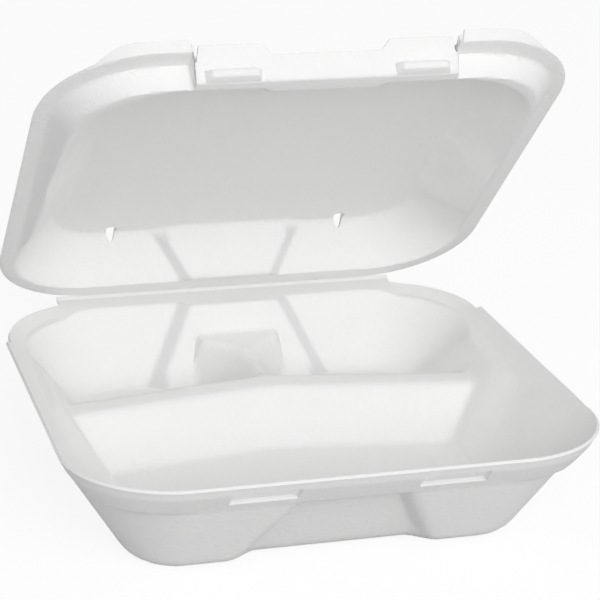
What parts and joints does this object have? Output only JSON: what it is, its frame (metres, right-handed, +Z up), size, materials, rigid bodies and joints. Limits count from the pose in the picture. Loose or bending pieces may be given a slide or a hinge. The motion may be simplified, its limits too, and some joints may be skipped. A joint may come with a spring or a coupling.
{
  "type": "hinged lid food container",
  "caption": "Shallow square foam food container with a flared rim, divided tray and a domed lid hinged along the back, shown with the lid half open.",
  "frame": {"origin": "middle of the tray's underside plane, halfway between the hinge line and the front rim", "axes": "+Z up, +Y toward the hinge, +X along the hinge"},
  "size_m": [0.21, 0.2093, 0.1916],
  "materials": {
    "foam": "white expanded polystyrene foam, matte with a fine grain"
  },
  "bodies": {
    "tray": {"tray": "foam"},
    "lid": {"lid": "foam"}
  },
  "joints": [
    {"name": "lid_hinge", "type": "hinge", "parent": "tray", "child": "lid", "pos_m": [0, 0.102, 0.033], "axis": [-1, 0, 0], "range_deg": [-45, 135]}
  ]
}
